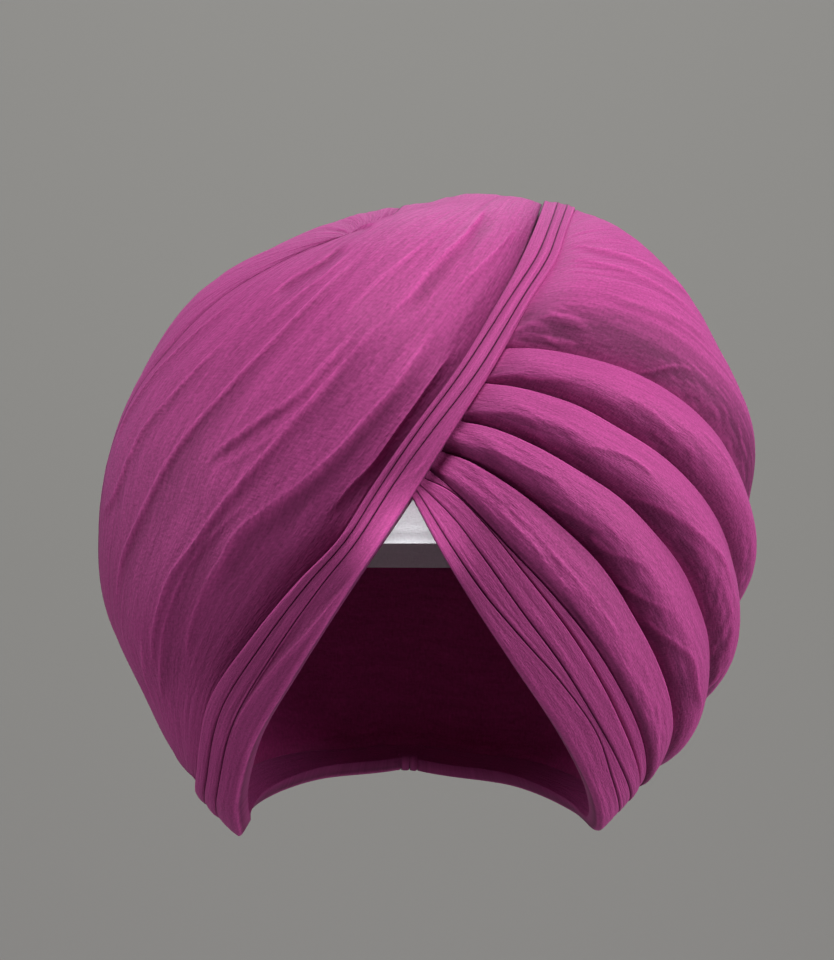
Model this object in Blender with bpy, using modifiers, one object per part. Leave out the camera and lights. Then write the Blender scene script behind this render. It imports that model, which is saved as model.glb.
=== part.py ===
"""A wound cloth turban, as worn: nested wraps round a head-shaped hollow, with a V opening at the brow.

Origin: where the crown of the head touches the hollow. +Z up, the brow faces -Y, +X is the viewer's right.
The outer cloth is laid out on one rounded form, given by its radius from a centre inside the head. Each fold
is a curve on that form, and each wrap is the cloth between two folds, puffed up between them.
"""

from collections import namedtuple

import bmesh
import bpy
import numpy as np

MM = 0.001

# Driving sizes, in mm
CENTRE = np.array([0.0, 0.0, -40.0])
EYE = np.array([0.0, -1600.0, -20.0])
HEAD_HALF_BREADTH = 77.0
HEAD_HALF_DEPTH = 98.0
HEAD_DOME = 70.0
HEAD_BELOW = 230.0
BAND_GAP = 2.9
BAND_THICKNESS = 1.2
HOLLOW_CLEARANCE = 4.0
LEAST_CLOTH = 7.5
COVER = 11.5
COVER_EASE = 10.0
HOLLOW_EASE = 4.0
LEAST_EDGE = 1.1
SIDE_GAP = 0.7
MOST_INSET = 0.3
RADIAL_GAP = 1.2

# The form's radius from the centre: elevation in degrees, then mm at the left, right, front and back
Form = namedtuple("Form", "elevation left right front back")
FORM = [
    Form(-62, 144, 143, 112, 131),
    Form(-45, 136, 135, 110, 138),
    Form(-30, 127, 133, 109, 146),
    Form(-15, 130.5, 131.5, 110, 153),
    Form(0, 130, 132, 115, 156),
    Form(15, 129, 135.5, 123, 155),
    Form(30, 129, 138, 129, 149),
    Form(45, 130.5, 144.5, 132, 142),
    Form(60, 128.5, 147.5, 133, 137),
    Form(75, 128.5, 140, 132, 133),
    Form(90, 130, 130, 130, 130),
]

# A fold's route. "before" and "after" are (azimuth, elevation) in degrees where the front view hides it, and
# "seen" is (across, up) in mm, as the front view shows it in the plane through the centre. "depth" is how far
# its valley lies below the form.
Fold = namedtuple("Fold", "before seen after depth")
FOLDS = {
    "edge": Fold(
        [(-171.7, -49.8), (-150, -51.8), (-120, -56), (-100, -59), (-88, -60)],
        [(-73, -150), (-67, -128), (-53, -104), (-38, -80), (-25, -60), (-3.6, -28), (14, 0), (27, 20),
         (46, 53), (57, 70), (60, 79)],
        [(80, 63.5), (115, 61), (138, 50), (150, 36), (159, 18), (165, 0), (169.5, -18), (174, -33),
         (180, -49.8)],
        3.0,
    ),
    "wrap": Fold(
        [(-171.7, -41.5), (-150, -43), (-120, -47), (-100, -50)],
        [(-90, -138), (-85, -109), (-69, -85), (-49, -61), (-33, -44.5), (-20, -24.5), (-3, 0), (12, 20),
         (32, 52.5), (40, 67), (45.5, 79)],
        [(76, 68.5), (122, 65.5), (146, 53), (157, 38), (165, 19), (171, 0), (176, -18), (181, -33),
         (187.3, -49.5)],
        5.0,
    ),
    "shoulder": Fold(
        [(-98, -46), (-92, -30), (-86, -12), (-81, 3.5), (-81, 14.5), (-76, 24), (-65.5, 34), (-54, 45.5),
         (-41, 54.5), (-16.5, 65.5), (-18, 83), (174, 81), (175, 63), (176, 39), (177, 18), (178, -8),
         (183, -24), (189.5, -40.8)],
        [],
        [],
        3.0,
    ),
    "valley_1": Fold(
        [],
        [(37.6, 34), (57, 32), (73, 29), (90, 24), (106, 15), (119, 3)],
        [(90, 2.6), (120, -12), (150, -21), (171.4, -27)],
        8.5,
    ),
    "valley_2": Fold(
        [],
        [(28.2, 20), (49, 15.5), (65, 10.5), (81, 2), (98, -8.5), (114, -23.5), (123, -36.5)],
        [(90, -13.2), (120, -25), (150, -31), (173.5, -33)],
        8.5,
    ),
    "valley_3": Fold(
        [],
        [(18.8, 5), (33, 0), (49, -7), (65, -16), (81, -26), (96, -40), (110, -57), (117, -75)],
        [(90, -31.7), (120, -40), (150, -41), (175.3, -38.5)],
        8.5,
    ),
    "valley_4": Fold(
        [],
        [(11.5, -7), (25, -14.5), (41, -24.5), (57, -37), (75, -54.5), (87.5, -74), (97, -92), (103, -115)],
        [(90, -45.5), (120, -49), (150, -46), (176.5, -42)],
        8.0,
    ),
    "valley_5": Fold(
        [],
        [(5.3, -16), (21, -31.5), (37, -48.5), (53, -65.5), (69, -85), (81.5, -105), (89, -121)],
        [(90, -49.4), (120, -51.5), (150, -48.5), (177.4, -44.5)],
        5.0,
    ),
    "pleat_a": Fold(
        [],
        [(3.2, -19.5), (12.5, -24.5), (25, -36.5), (41, -56), (61, -82), (73, -101), (81.5, -118)],
        [(90, -50.8), (120, -52.8), (150, -49.8), (178, -46)],
        4.0,
    ),
    "pleat_b": Fold(
        [],
        [(1.2, -23), (14.5, -36.5), (25, -50.5), (41, -73), (57, -94.5), (69, -113.5), (79.5, -132.5)],
        [(90, -52.8), (120, -54.2), (150, -51), (178.5, -47.5)],
        2.5,
    ),
    "pleat_c": Fold(
        [],
        [(-0.4, -25.5), (12.5, -46.5), (25, -65), (41, -84), (57, -102), (72, -123.5), (77.5, -140)],
        [(90, -55.4), (120, -55.6), (150, -52.2), (179, -49)],
        3.0,
    ),
    "brow": Fold(
        [],
        [(-2, -28.4), (7.3, -46), (21.5, -70), (40.5, -99), (60, -128.5), (70, -148)],
        [(90, -59.8), (120, -58.2), (150, -54.2), (179.3, -50.5)],
        3.0,
    ),
}

# How a wrap's surface lies between its lower and upper folds: below 0 as a share of the valley's depth, above
# 0 as a share of the puff. It turns under at its lower fold, is fullest below its middle, and leans back to a
# tight roll at its upper edge.
Rise = namedtuple("Rise", "share height")
ROLL = [
    Rise(0.0, -1.0), Rise(0.05, -0.45), Rise(0.12, 0.0), Rise(0.25, 0.6), Rise(0.42, 1.0), Rise(0.65, 0.65),
    Rise(0.88, 0.3), Rise(0.965, 0.0), Rise(1.0, -1.0),
]
NARROW_ROLL = [
    Rise(0.0, -1.0), Rise(0.3, 0.2), Rise(0.7, 1.0), Rise(0.9, 0.7), Rise(1.0, -0.6),
]
EDGE_WRAP = [
    Rise(0.0, -1.0), Rise(0.03, -0.5), Rise(0.07, 0.1), Rise(0.13, 0.75), Rise(0.22, 1.0), Rise(0.38, 0.8),
    Rise(0.6, 0.35), Rise(0.82, 0.05), Rise(1.0, -0.1),
]

# Wraps on the viewer's right: the folds below and above each, how its surface rises between them, and how far
# it puffs up above the form, in mm
Wrap = namedtuple("Wrap", "lower upper rises puff")
RIGHT_WRAPS = {
    "right_layer_1": Wrap("valley_1", "edge", EDGE_WRAP, 4.0),
    "right_layer_2": Wrap("valley_2", "valley_1", ROLL, 4.5),
    "right_layer_3": Wrap("valley_3", "valley_2", ROLL, 5.0),
    "right_layer_4": Wrap("valley_4", "valley_3", ROLL, 4.5),
    "right_layer_5": Wrap("valley_5", "valley_4", ROLL, 3.5),
    "right_pleat_4": Wrap("pleat_a", "valley_5", NARROW_ROLL, 1.5),
    "right_pleat_3": Wrap("pleat_b", "pleat_a", NARROW_ROLL, 2.5),
    "right_pleat_2": Wrap("pleat_c", "pleat_b", NARROW_ROLL, 2.5),
    "right_pleat_1": Wrap("brow", "pleat_c", NARROW_ROLL, 2.5),
}

# How calm the right wraps are at their ends, and over what share of their length at each end
CALM = 0.35
CALM_START = 0.12
CALM_END = 0.3

# The diagonal edge's pleats: how far along it, then where the two lines between its three pleats lie, as
# shares of its width from the brow side, and how far the pleats puff up
PleatLine = namedtuple("PleatLine", "along first second puff")
PLEAT_LINES = [
    PleatLine(0.0, 0.4, 0.7, 2.0), PleatLine(0.3, 0.5, 0.75, 2.5), PleatLine(0.4, 0.55, 0.8, 3.0),
    PleatLine(0.47, 0.36, 0.78, 3.0), PleatLine(0.55, 0.2, 0.4, 1.8), PleatLine(0.64, 0.3, 0.6, 1.0),
    PleatLine(1.0, 0.35, 0.68, 1.5),
]

# Rows of faces along and across each kind of piece
LONG_ROWS = 42
WRAP_ROWS = 20
SHOULDER_ROWS = 13
LEFT_COLUMNS = 11
BACK_COLUMNS = 18
TURNS = 40
BODY_ROWS = 10
BAND_ROWS = 3

# Steps taken where a place is found by trying: the form as seen from the front, and the band's level
SEEN_STEPS = 40
LEVEL_STEPS = 12

# The long valley in the left wrap beside the diagonal edge: deep on the brow side, nearly gone on the crown,
# with the shares of the wrap's length over which it starts and fades
VALLEY_DEPTH = 7.5
VALLEY_SHARE = 0.22
VALLEY_REST = 0.15
VALLEY_START = 0.15
VALLEY_END = 0.52
VALLEY_FADE = 0.2

# Where the left wraps meet: the nape end of their edges, the share of the shoulder fold at its corner on the
# crown, the samples left out round that corner, the gap, how late the wrap behind bends to its rim, and the
# dip along the fold
NAPE_CORNER = (184.7, -40.8)
SHOULDER_CORNER = 0.43
CORNER_MARGIN = 3
CROSSING_AHEAD = 6
CROSSING_BEHIND = 2
LEFT_GAP = 2.7
RIM_LIFT = 0.006
RIM_POWER = 4
DIP_SHARE = 0.05

# The body's rim stands back from the opening's edge by an angle, and is blunt over an angle where it peaks.
# Its rows crowd towards the rim.
BODY_INSET = 4.0
RIM_BLUNT = 5.0
BODY_CROWDING = 1.25
LUNE_MARGIN = 4

# The white band's lower edge at the brow and at the nape, and its width
BAND_BOTTOM = (-44.5, -58.0)
BAND_WIDTH = 30.0

CLOTH = (0.34, 0.045, 0.19, 1.0)
CLOTH_DARK = (0.26, 0.032, 0.145, 1.0)
WHITE = (0.75, 0.75, 0.76, 1.0)
OUTER_ROUGHNESS = 0.75
INNER_ROUGHNESS = 0.8


def smooth(x, y, at):
    """Cubic through the points (x, y), read at the places given."""
    x = np.asarray(x, float)
    y = np.asarray(y, float)
    slope = np.gradient(y, x)
    i = np.clip(np.searchsorted(x, at) - 1, 0, len(x) - 2)
    h = x[i + 1] - x[i]
    t = np.clip((at - x[i]) / h, 0.0, 1.0)
    return (
        y[i] * (1 + 2 * t) * (1 - t) ** 2
        + slope[i] * h * t * (1 - t) ** 2
        + y[i + 1] * t * t * (3 - 2 * t)
        + slope[i + 1] * h * t * t * (t - 1)
    )


def directions(azimuth, elevation):
    """Unit directions for angles in degrees: azimuth 0 is the brow, 90 the viewer's right."""
    a = np.radians(azimuth)
    e = np.radians(elevation)
    return np.stack([np.sin(a) * np.cos(e), -np.cos(a) * np.cos(e), np.sin(e)], axis=-1)


def unit(v):
    return v / np.linalg.norm(v, axis=-1, keepdims=True)


def form_radius(d):
    """The form's radius along unit directions: an ellipse round each level of elevation."""
    elevation = np.degrees(np.arcsin(np.clip(d[..., 2], -1, 1)))
    levels = [row.elevation for row in FORM]
    left = smooth(levels, [row.left for row in FORM], elevation)
    right = smooth(levels, [row.right for row in FORM], elevation)
    front = smooth(levels, [row.front for row in FORM], elevation)
    back = smooth(levels, [row.back for row in FORM], elevation)
    side = np.where(d[..., 0] < 0, left, right)
    ahead = np.where(d[..., 1] < 0, front, back)
    sideways = d[..., 0] ** 2 / np.maximum(d[..., 0] ** 2 + d[..., 1] ** 2, 1e-12)
    return 1 / np.sqrt(sideways / side**2 + (1 - sideways) / ahead**2)


def head_radius(d):
    """The head's radius along unit directions: an ellipsoid, longer below its widest level."""
    drop = CENTRE[2] + HEAD_DOME
    level = (d[..., 0] / HEAD_HALF_BREADTH) ** 2 + (d[..., 1] / HEAD_HALF_DEPTH) ** 2
    radius = None
    for height in (HEAD_DOME, HEAD_BELOW):
        a = level + (d[..., 2] / height) ** 2
        b = 2 * drop * d[..., 2] / height**2
        c = (drop / height) ** 2 - 1
        found = (-b + np.sqrt(b * b - 4 * a * c)) / (2 * a)
        radius = found if radius is None else np.where(drop + radius * d[..., 2] < 0, found, radius)
    return radius


def hollow_radius(d):
    """The hollow touches the crown, clears the head's sides, and eases over to the form near thin cloth."""
    fit = head_radius(d) + HOLLOW_CLEARANCE * np.hypot(d[..., 0], d[..., 1])
    thin = form_radius(d) - LEAST_CLOTH
    return (fit + thin - np.sqrt((fit - thin) ** 2 + HOLLOW_EASE**2)) / 2


def cover_depth(d):
    """How deep the outer wraps go below the form: less where there is little cloth."""
    cloth = form_radius(d) - hollow_radius(d)
    return COVER * cloth / (cloth + COVER_EASE)


def seen(across, up):
    """The direction of the point of the form that the front view shows at (across, up)."""
    target = np.array([across, 0.0, up])
    near, far = 0.0, 1.0
    for _ in range(SEEN_STEPS):
        middle = (near + far) / 2
        offset = EYE + middle * (target - EYE) - CENTRE
        distance = np.linalg.norm(offset)
        if distance > form_radius(offset / distance):
            near = middle
        else:
            far = middle
    return unit(EYE + far * (target - EYE) - CENTRE)


def spread(points, count):
    """Points spaced evenly along a line of directions."""
    length = np.concatenate([[0], np.cumsum(np.linalg.norm(np.diff(points, axis=0), axis=1))])
    at = np.linspace(0, length[-1], count)
    return unit(np.stack([np.interp(at, length, points[:, k]) for k in range(3)], axis=1))


def fold_route(fold, count=400):
    """A fold's smooth route as unit directions."""
    knots = [directions(*p) for p in fold.before]
    knots += [seen(*p) for p in fold.seen]
    knots += [directions(*p) for p in fold.after]
    knots = np.array(knots)
    length = np.concatenate([[0], np.cumsum(np.linalg.norm(np.diff(knots, axis=0), axis=1))])
    at = np.linspace(0, length[-1], count)
    return spread(unit(np.stack([smooth(length, knots[:, k], at) for k in range(3)], axis=1)), count)


def stretch(route, start, end, margin, count):
    """The part of a route between the points nearest to two directions, less a few samples at both ends."""
    first = int(np.argmax(route @ start)) + margin
    last = int(np.argmax(route @ end)) - margin
    return spread(route[first : last + 1], count)


def across(lower, upper, shares, gap=SIDE_GAP):
    """Directions between two routes at shares of the way, keeping half a gap at both sides."""
    angle = np.arccos(np.clip(np.sum(lower * upper, axis=1), -1, 1))
    width = angle * form_radius(unit(lower + upper))
    inset = np.minimum(gap / 2 / width, MOST_INSET)[:, None]
    w = (inset + np.asarray(shares)[None, :] * (1 - 2 * inset))[..., None]
    angle = angle[:, None, None]
    return unit(np.sin((1 - w) * angle) * lower[:, None] + np.sin(w * angle) * upper[:, None])


def heights(rises, puff, lower_depth, upper_depth):
    """A wrap's height above the form across its width."""
    found = []
    for rise in rises:
        depth = lower_depth if rise.share < 0.5 else upper_depth
        found.append(rise.height * (puff if rise.height > 0 else depth))
    return np.array(found)


def slab(name, outer, inner, material):
    """A closed piece between an outer and an inner grid of points in mm."""
    rows, columns = outer.shape[:2]
    points = np.concatenate([outer.reshape(-1, 3), inner.reshape(-1, 3)]) * MM
    back = rows * columns
    faces = []
    for i in range(rows - 1):
        for j in range(columns - 1):
            a = i * columns + j
            d = a + columns
            faces.append((a, a + 1, d + 1, d))
            faces.append((back + d, back + d + 1, back + a + 1, back + a))
    rim = list(range(columns))
    rim += [i * columns + columns - 1 for i in range(1, rows)]
    rim += [(rows - 1) * columns + j for j in range(columns - 2, -1, -1)]
    rim += [i * columns for i in range(rows - 2, 0, -1)]
    for a, b in zip(rim, rim[1:] + rim[:1]):
        faces.append((b, a, back + a, back + b))
    return add_piece(name, points, faces, material)


def add_piece(name, points, faces, material):
    """A mesh object of its own in the turban's collection, its faces turned outward."""
    mesh = bpy.data.meshes.new(name)
    mesh.from_pydata([tuple(p) for p in points], [], faces)
    work = bmesh.new()
    work.from_mesh(mesh)
    bmesh.ops.recalc_face_normals(work, faces=work.faces)
    work.to_mesh(mesh)
    work.free()
    mesh.materials.append(material)
    piece = bpy.data.objects.new(name, mesh)
    turban.objects.link(piece)
    return piece


def cloth_material(name, colour, roughness):
    material = bpy.data.materials.new(name)
    material.use_nodes = True
    shader = material.node_tree.nodes["Principled BSDF"]
    shader.inputs["Base Color"].default_value = colour
    shader.inputs["Roughness"].default_value = roughness
    shader.inputs["Metallic"].default_value = 0.0
    material.diffuse_color = colour
    return material


def lay(name, d, above, material):
    """A wrap on a grid of directions: "above" is its height over the form, along and across."""
    form = form_radius(d)
    cover = cover_depth(d)
    outer = form + np.maximum(above, LEAST_EDGE - cover)
    return slab(name, CENTRE + d * outer[..., None], CENTRE + d * (form - cover)[..., None], material)


def ease(x):
    x = np.clip(x, 0, 1)
    return x * x * (3 - 2 * x)


def build_right_wraps(routes, material):
    """The nested arcs and pleats on the viewer's right, calmer towards their ends."""
    along = np.linspace(0, 1, WRAP_ROWS)
    calm = CALM + (1 - CALM) * ease(along / CALM_START) * ease((1 - along) / CALM_END)
    for name, wrap in RIGHT_WRAPS.items():
        lower = routes[wrap.lower]
        if wrap.upper == "edge":
            upper = stretch(routes["edge"], lower[0], lower[-1], LUNE_MARGIN, WRAP_ROWS)
        else:
            upper = spread(routes[wrap.upper], WRAP_ROWS)
        above = heights(wrap.rises, wrap.puff, FOLDS[wrap.lower].depth, FOLDS[wrap.upper].depth)
        d = across(spread(lower, WRAP_ROWS), upper, [rise.share for rise in wrap.rises])
        lay(name, d, calm[:, None] * above[None, :], material)


def build_edge_pleats(routes, material):
    """The three pleats of the diagonal edge."""
    edge = spread(routes["edge"], LONG_ROWS)
    wrap = spread(routes["wrap"], LONG_ROWS)
    along = np.linspace(0, 1, LONG_ROWS)
    places = [row.along for row in PLEAT_LINES]
    first = smooth(places, [row.first for row in PLEAT_LINES], along)
    second = smooth(places, [row.second for row in PLEAT_LINES], along)
    lines = [edge]
    for share in (first, second):
        lines.append(unit(edge * (1 - share[:, None]) + wrap * share[:, None]))
    lines.append(wrap)
    depth = FOLDS["edge"].depth
    puffs = smooth(places, [row.puff for row in PLEAT_LINES], along)
    above = np.array([heights(NARROW_ROLL, puff, depth, depth) for puff in puffs])
    for k in range(3):
        name = "edge_pleat_" + str(k + 1)
        lay(name, across(lines[k], lines[k + 1], [r.share for r in NARROW_ROLL]), above, material)


def build_left_wraps(routes, material, dark):
    """The broad wrap over the left and the crown, and the one behind it. They meet along the shoulder fold,
    which turns a corner on the crown: the wrap behind spans from the fold's front part to its back part."""
    wrap = routes["wrap"]
    shoulder = routes["shoulder"]
    crossing = int(np.argmax(wrap @ shoulder[0]))
    nape = int(np.argmax(wrap @ directions(*NAPE_CORNER)))
    corner = int(len(shoulder) * SHOULDER_CORNER)
    before = spread(shoulder[: corner - CORNER_MARGIN][::-1], SHOULDER_ROWS)
    behind = spread(shoulder[corner + CORNER_MARGIN :], SHOULDER_ROWS)

    middle = np.concatenate([before[::-1], shoulder[corner : corner + 1], behind])
    rows = len(middle)
    upper = spread(wrap[crossing + CROSSING_AHEAD : nape], rows)
    shares = np.linspace(0, 1, LEFT_COLUMNS)
    along = np.linspace(0, 1, rows)[:, None]
    valley = VALLEY_DEPTH * np.exp(-(((1 - shares) / VALLEY_SHARE) ** 2))[None, :]
    deep = ease(along / VALLEY_START) * ease((VALLEY_END - along) / VALLEY_FADE)
    front = VALLEY_REST + (1 - VALLEY_REST) * deep
    lay("left_wrap", across(middle, upper, shares, LEFT_GAP), -front * valley, material)

    shares = np.linspace(0, 1, BACK_COLUMNS)
    along = np.linspace(0, 1, SHOULDER_ROWS)[:, None]
    d = across(before, behind, shares, LEFT_GAP)
    rim = spread(wrap[: crossing - CROSSING_BEHIND][::-1], BACK_COLUMNS) + RIM_LIFT * np.array([0, 0, 1])
    rim = rim + shares[:, None] ** RIM_POWER * (d[-1, -1] - rim[-1])
    d = unit(d + along[..., None] ** RIM_POWER * (rim - d[-1])[None, ...])
    dip = np.exp(-((shares / DIP_SHARE) ** 2)) + np.exp(-(((1 - shares) / DIP_SHARE) ** 2))
    lay("back_wrap", d, -FOLDS["shoulder"].depth * np.tile(dip, (SHOULDER_ROWS, 1)), dark)


def opening_elevation(routes, azimuth):
    """Elevation of the opening's rim at each azimuth: the diagonal edge at the left, the brow fold at the
    right."""
    left = routes["edge"]
    right = routes["brow"]
    meet = int(np.argmin(np.abs(left[:, 0] - right[0, 0]) + np.abs(left[:, 1] - right[0, 1])))
    rim = np.concatenate([left[:meet], right])
    angle = np.degrees(np.arctan2(rim[:, 0], -rim[:, 1]))
    height = np.degrees(np.arcsin(rim[:, 2]))
    order = np.argsort(angle)
    return np.interp(azimuth, angle[order], height[order], period=360)


def under_cover(azimuth, elevation, step):
    """The body's radius: under the outer wraps' lowest point within half a face each way."""
    turn = 180 / TURNS
    lowest = None
    for aside in (-turn, 0.0, turn):
        for above in (-step, 0.0, step):
            d = directions(azimuth + aside, elevation + above)
            radius = form_radius(d) - cover_depth(d)
            lowest = radius if lowest is None else np.minimum(lowest, radius)
    return lowest - RADIAL_GAP


def join_rings(faces, lower, upper):
    """Faces between two closed rings of vertices."""
    for i in range(TURNS):
        j = (i + 1) % TURNS
        faces.append((lower + i, lower + j, upper + j, upper + i))


def build_body(routes, material):
    """The wound body under the outer wraps, round the hollow, with a blunt rim where the opening peaks."""
    azimuth = np.arange(TURNS) * 360 / TURNS - 180
    beside = [opening_elevation(routes, azimuth + aside) for aside in (-RIM_BLUNT, 0, RIM_BLUNT)]
    rim = np.max(beside, axis=0) + BODY_INSET
    step = (90 - rim) / BODY_ROWS / 2
    outside = []
    inside = []
    for k in range(BODY_ROWS):
        elevation = rim + (90 - rim) * (k / BODY_ROWS) ** BODY_CROWDING
        d = directions(azimuth, elevation)
        hollow = hollow_radius(d)
        wound = np.maximum(under_cover(azimuth, elevation, step), hollow + LEAST_EDGE)
        outside.append(CENTRE + d * wound[:, None])
        inside.append(CENTRE + d * hollow[:, None])
    up = directions(0.0, 90.0)
    outside.append((CENTRE + up * under_cover(0.0, 90.0, 0.0))[None, :])
    inside.append((CENTRE + up * hollow_radius(up))[None, :])

    faces = []
    sheet = BODY_ROWS * TURNS + 1
    for base in (0, sheet):
        for k in range(BODY_ROWS - 1):
            join_rings(faces, base + k * TURNS, base + (k + 1) * TURNS)
        last = base + (BODY_ROWS - 1) * TURNS
        for i in range(TURNS):
            faces.append((last + i, last + (i + 1) % TURNS, last + TURNS))
    join_rings(faces, 0, sheet)
    add_piece("inner_wraps", np.concatenate(outside + inside) * MM, faces, material)


def build_under_band(material):
    """The white band: a ring of cloth just inside the hollow's wall, lower at the nape than at the brow."""
    azimuth = np.arange(TURNS) * 360 / TURNS - 180
    share = (1 - np.cos(np.radians(azimuth))) / 2
    bottom = BAND_BOTTOM[0] + (BAND_BOTTOM[1] - BAND_BOTTOM[0]) * share
    points = []
    faces = []
    for k in range(BAND_ROWS):
        height = bottom + BAND_WIDTH * k / (BAND_ROWS - 1)
        elevation = np.zeros(TURNS)
        for _ in range(LEVEL_STEPS):
            radius = hollow_radius(directions(azimuth, elevation)) - BAND_GAP
            level = radius * np.cos(np.radians(elevation))
            elevation = np.degrees(np.arctan2(height - CENTRE[2], level))
        points.append(CENTRE + directions(azimuth, elevation) * radius[:, None])
    for k in range(BAND_ROWS - 1):
        join_rings(faces, k * TURNS, (k + 1) * TURNS)
    band = add_piece("under_band", np.concatenate(points) * MM, faces, material)
    wall = band.modifiers.new("thickness", "SOLIDIFY")
    wall.thickness = BAND_THICKNESS * MM
    wall.offset = -1.0


for leftover in list(bpy.data.objects):
    bpy.data.objects.remove(leftover, do_unlink=True)

turban = bpy.data.collections.new("turban")
bpy.context.scene.collection.children.link(turban)

magenta = cloth_material("magenta_cotton", CLOTH, OUTER_ROUGHNESS)
magenta_dark = cloth_material("magenta_cotton_inner", CLOTH_DARK, INNER_ROUGHNESS)
white = cloth_material("white_cotton", WHITE, INNER_ROUGHNESS)

fold_routes = {name: fold_route(fold) for name, fold in FOLDS.items()}
build_under_band(white)
build_body(fold_routes, magenta_dark)
build_right_wraps(fold_routes, magenta)
build_edge_pleats(fold_routes, magenta)
build_left_wraps(fold_routes, magenta, magenta_dark)
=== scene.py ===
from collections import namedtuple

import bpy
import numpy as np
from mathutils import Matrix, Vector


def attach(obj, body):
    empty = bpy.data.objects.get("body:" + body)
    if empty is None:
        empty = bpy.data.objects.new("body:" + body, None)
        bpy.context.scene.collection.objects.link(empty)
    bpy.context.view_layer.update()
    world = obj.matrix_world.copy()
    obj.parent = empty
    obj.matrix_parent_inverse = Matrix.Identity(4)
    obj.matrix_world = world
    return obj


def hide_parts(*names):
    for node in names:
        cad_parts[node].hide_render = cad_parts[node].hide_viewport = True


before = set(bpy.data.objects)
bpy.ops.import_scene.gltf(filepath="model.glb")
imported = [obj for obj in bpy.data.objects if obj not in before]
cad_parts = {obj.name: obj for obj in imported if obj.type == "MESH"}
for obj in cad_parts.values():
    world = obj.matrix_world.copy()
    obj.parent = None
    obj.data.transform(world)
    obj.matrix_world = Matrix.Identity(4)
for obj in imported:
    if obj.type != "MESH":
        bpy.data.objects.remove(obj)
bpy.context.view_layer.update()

# Looks for the wound cloth turban. Lengths are in mm while a shape is worked out, and in metres in a mesh.
# The cloth lies on one rounded form, given by its radius from a centre inside the head. A direction from that
# centre is a unit vector: +Z up, -Y the brow, +X the viewer's right.

MM = 0.001

# Sizes shared with the solids
CENTRE = np.array([0.0, 0.0, -40.0])
EYE = np.array([0.0, -1600.0, -20.0])
HEAD_HALF_BREADTH = 77.0
HEAD_HALF_DEPTH = 98.0
HEAD_DOME = 70.0
HEAD_BELOW = 230.0
HOLLOW_CLEARANCE = 4.0
HOLLOW_EASE = 4.0
LEAST_CLOTH = 7.5
LEAST_EDGE = 0.8
COVER = 16.0
COVER_EASE = 10.0
RADIAL_GAP = 1.2
SIDE_GAP = 0.7
BAND_GAP = 2.9
BAND_THICKNESS = 1.2
BAND_BOTTOM = (-44.5, -58.0)
BAND_WIDTH = 30.0

# The form's radius from the centre: elevation in degrees, then mm at the left, right, front and back
Form = namedtuple("Form", "elevation left right front back")
FORM = [
    Form(-62, 144, 143, 112, 131),
    Form(-45, 136, 135, 110, 138),
    Form(-30, 127, 133, 109, 146),
    Form(-15, 130.5, 131.5, 110, 153),
    Form(0, 130, 132, 115, 156),
    Form(15, 129, 135.5, 123, 155),
    Form(30, 129, 138, 129, 149),
    Form(45, 130.5, 144.5, 132, 142),
    Form(60, 128.5, 147.5, 133, 137),
    Form(75, 128.5, 140, 132, 133),
    Form(90, 130, 130, 130, 130),
]

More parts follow.
